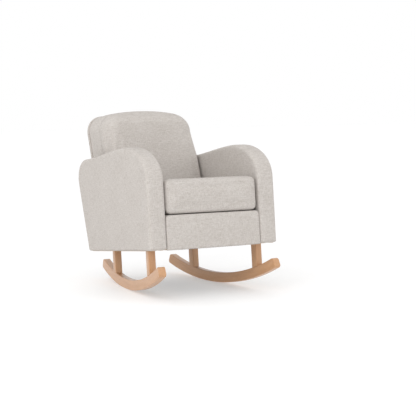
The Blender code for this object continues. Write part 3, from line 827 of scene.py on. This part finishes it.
def buildRocker(side, sign):
    # the section is drawn at the rear tip and spun round the arc's centre
    half, low = rocker["width"] / 2, rocker["radius"] - rocker["height"]
    centre = Vector((0, 0, rocker["centreZ"]))
    bpy.ops.object.select_all(action="DESELECT")
    bpy.ops.mesh.primitive_plane_add(size=1, location=(0, 0, 0))
    obj = bpy.context.object
    obj.name = "rocker" + side.capitalize()
    bpy.ops.object.mode_set(mode="EDIT")
    bpy.ops.mesh.select_all(action="SELECT")
    bpy.ops.transform.resize(value=(rocker["width"], rocker["height"], 1))
    bpy.ops.mesh.bevel(offset=rocker["ease"], segments=4, affect="VERTICES")
    bpy.ops.mesh.select_all(action="SELECT")
    bpy.ops.transform.rotate(value=math.pi / 2, orient_axis="X", center_override=(0, 0, 0))
    bpy.ops.transform.translate(value=(0, 0, rocker["centreZ"] - low - rocker["height"] / 2))
    bpy.ops.object.mode_set(mode="OBJECT")
    swing = (Matrix.Translation(centre) @ Matrix.Rotation(math.radians(rocker["rear"]), 4, "X")
             @ Matrix.Translation(-centre))
    obj.data.transform(swing)
    bpy.ops.object.mode_set(mode="EDIT")
    bpy.ops.mesh.select_all(action="SELECT")
    total = math.radians(rocker["rear"] - rocker["front"])
    bpy.ops.mesh.spin(steps=rocker["rings"], angle=total, center=centre, axis=(1, 0, 0))
    bpy.ops.mesh.select_all(action="SELECT")
    bpy.ops.mesh.remove_doubles(threshold=0.00002)
    bpy.ops.mesh.select_all(action="DESELECT")
    bpy.ops.mesh.select_non_manifold()
    bpy.ops.mesh.edge_face_add()
    bpy.ops.mesh.select_all(action="SELECT")
    bpy.ops.mesh.normals_make_consistent(inside=False)
    bpy.ops.object.mode_set(mode="OBJECT")
    writePoints(obj, roundTips(readPoints(obj)))
    obj.data.transform(rockerPlace(sign))
    points = readPoints(obj)
    # flat where it stands on the floor
    points[:, 2] = np.maximum(points[:, 2], 0.0)
    writePoints(obj, points)
    return finishPiece(obj, rockerWood, ["rocker_" + side], place=Matrix.Identity(4))


def buildLeg(which, side, sign):
    s, half = leg["places"][which], rocker["width"] / 2
    inner = rocker["radius"] - rocker["height"]
    ends = [s - leg["depth"] / 2, s + leg["depth"] / 2]
    feet = [rocker["centreZ"] - math.sqrt(inner ** 2 - y ** 2) for y in ends]
    low, high = min(feet) - 0.02, -0.0003
    bpy.ops.object.select_all(action="DESELECT")
    bpy.ops.mesh.primitive_cube_add(size=1, location=(0, 0, 0))
    obj = bpy.context.object
    obj.name = "leg" + which.capitalize() + side.capitalize()
    bpy.ops.object.mode_set(mode="EDIT")
    bpy.ops.mesh.select_all(action="SELECT")
    bpy.ops.transform.resize(value=(rocker["width"], leg["depth"], high - low))
    bpy.ops.transform.translate(value=(0, s, (high + low) / 2))
    pickEdges(obj, lambda a, b: abs(a.z - b.z) > 0.04)
    bpy.ops.mesh.bevel(offset=leg["ease"], segments=4, affect="EDGES")
    bpy.ops.mesh.select_all(action="SELECT")
    chord = Vector((0, ends[1] - ends[0], feet[1] - feet[0])).normalized()
    bpy.ops.mesh.bisect(plane_co=(0, ends[0], feet[0]), plane_no=(0, -chord.z, chord.y),
                        clear_inner=True, use_fill=True)
    bpy.ops.mesh.select_all(action="SELECT")
    bpy.ops.mesh.normals_make_consistent(inside=False)
    bpy.ops.object.mode_set(mode="OBJECT")
    return finishPiece(obj, beechUpright, [f"leg_{which}_{side}"], place=rockerPlace(sign))


arcCentre = seatFrame @ Vector((0, rocker["centreY"], rocker["centreZ"]))
rockerWood = woodMaterial("beechBent", beech, "arc", arcCentre)
for rockerSide, rockerSign in (("left", -1), ("right", 1)):
    buildRocker(rockerSide, rockerSign)
    for whichLeg in leg["places"]:
        buildLeg(whichLeg, rockerSide, rockerSign)
print("rockers and legs done")

# ---- finishes for the pieces that keep their own shape
carried = {
    "arm_board": plyMaterial, "arm_spacer": timberDeep, "back_post": timberUpright,
    "back_rail": timberAcross, "base_rail_front": timberAcross, "base_rail_rear": timberAcross,
    "base_rail": timberDeep, "corner_block": timberUpright, "leg_block": timberUpright,
    "tenon": beechUpright, "back_bolt": zincMaterial, "arm_bolt": zincMaterial,
    "leg_bolt": zincMaterial, "seat_spring": zincMaterial, "zip_slider": zincMaterial,
    "back_webbing": beltMaterial, "dust_cover": dustMaterial, "zip_tape": tapeMaterial,
    "back_foam_pad": foamMaterial, "seat_cushion_foam": foamMaterial,
}
for part in bpy.data.objects:
    if part.type != "MESH" or part.hide_render:
        continue
    for prefix, material in carried.items():
        if part.name.startswith(prefix):
            for materialSlot in part.material_slots:
                materialSlot.material = material
            break
print("carried parts finished")

# ---- floor, light and camera
studio = {"floor": 40.0, "floorGlow": 0.35, "world": 1.0, "aim": (0, 0, 0.4),
          "key": 95.0, "keySize": 4.5, "keyAt": (-3.6, -3.1, 3.1),
          "fill": 10.0, "fillSize": 4.0, "fillAt": (3.4, -3.8, 1.8)}
view = {"lens": 109.63, "sensor": 36.0, "place": (-2.971, -5.646, 1.0149), "tilt": 84.409,
        "turn": -29.404}


def buildFloor():
    bpy.ops.object.select_all(action="DESELECT")
    bpy.ops.mesh.primitive_plane_add(size=studio["floor"], location=(0, 0, 0))
    obj = bpy.context.object
    obj.name = "studioFloor"
    material, tree, shader = startMaterial("paleFloor")
    at = addNode(tree, "ShaderNodeTexCoord", {}).outputs["Object"]
    tone = ramp(tree, noise(tree, at, 3.0, 2.0), 0.3, 0.7)
    colour = blendColour(tree, tone, (0.64, 0.64, 0.64, 1), (0.66, 0.66, 0.66, 1))
    tree.links.new(colour, shader["Base Color"])
    shader["Emission Color"].default_value = (1, 1, 1, 1)
    shader["Emission Strength"].default_value = studio["floorGlow"]
    shader["Roughness"].default_value = 0.9
    shader["Specular IOR Level"].default_value = 0.1
    obj.data.materials.append(material)


def softLight(name, power, size, place):
    data = bpy.data.lights.new(name, "AREA")
    data.energy, data.size = power, size
    lamp = bpy.data.objects.new(name, data)
    lamp.location = place
    toward = Vector(studio["aim"]) - Vector(place)
    lamp.rotation_euler = toward.to_track_quat("-Z", "Y").to_euler()
    bpy.context.collection.objects.link(lamp)


def buildStudio():
    buildFloor()
    world = bpy.data.worlds.new("studioAir")
    world.use_nodes = True
    world.node_tree.nodes["Background"].inputs["Color"].default_value = (1, 1, 1, 1)
    world.node_tree.nodes["Background"].inputs["Strength"].default_value = studio["world"]
    bpy.context.scene.world = world
    softLight("keyLight", studio["key"], studio["keySize"], studio["keyAt"])
    softLight("fillLight", studio["fill"], studio["fillSize"], studio["fillAt"])
    bpy.context.scene.view_settings.view_transform = "Standard"


def buildCamera():
    data = bpy.data.cameras.new("studioCamera")
    data.lens, data.sensor_width = view["lens"], view["sensor"]
    camera = bpy.data.objects.new("studioCamera", data)
    camera.location = view["place"]
    camera.rotation_euler = (math.radians(view["tilt"]), 0.0, math.radians(view["turn"]))
    bpy.context.collection.objects.link(camera)
    bpy.context.scene.camera = camera


buildStudio()
buildCamera()
print("scene ready")
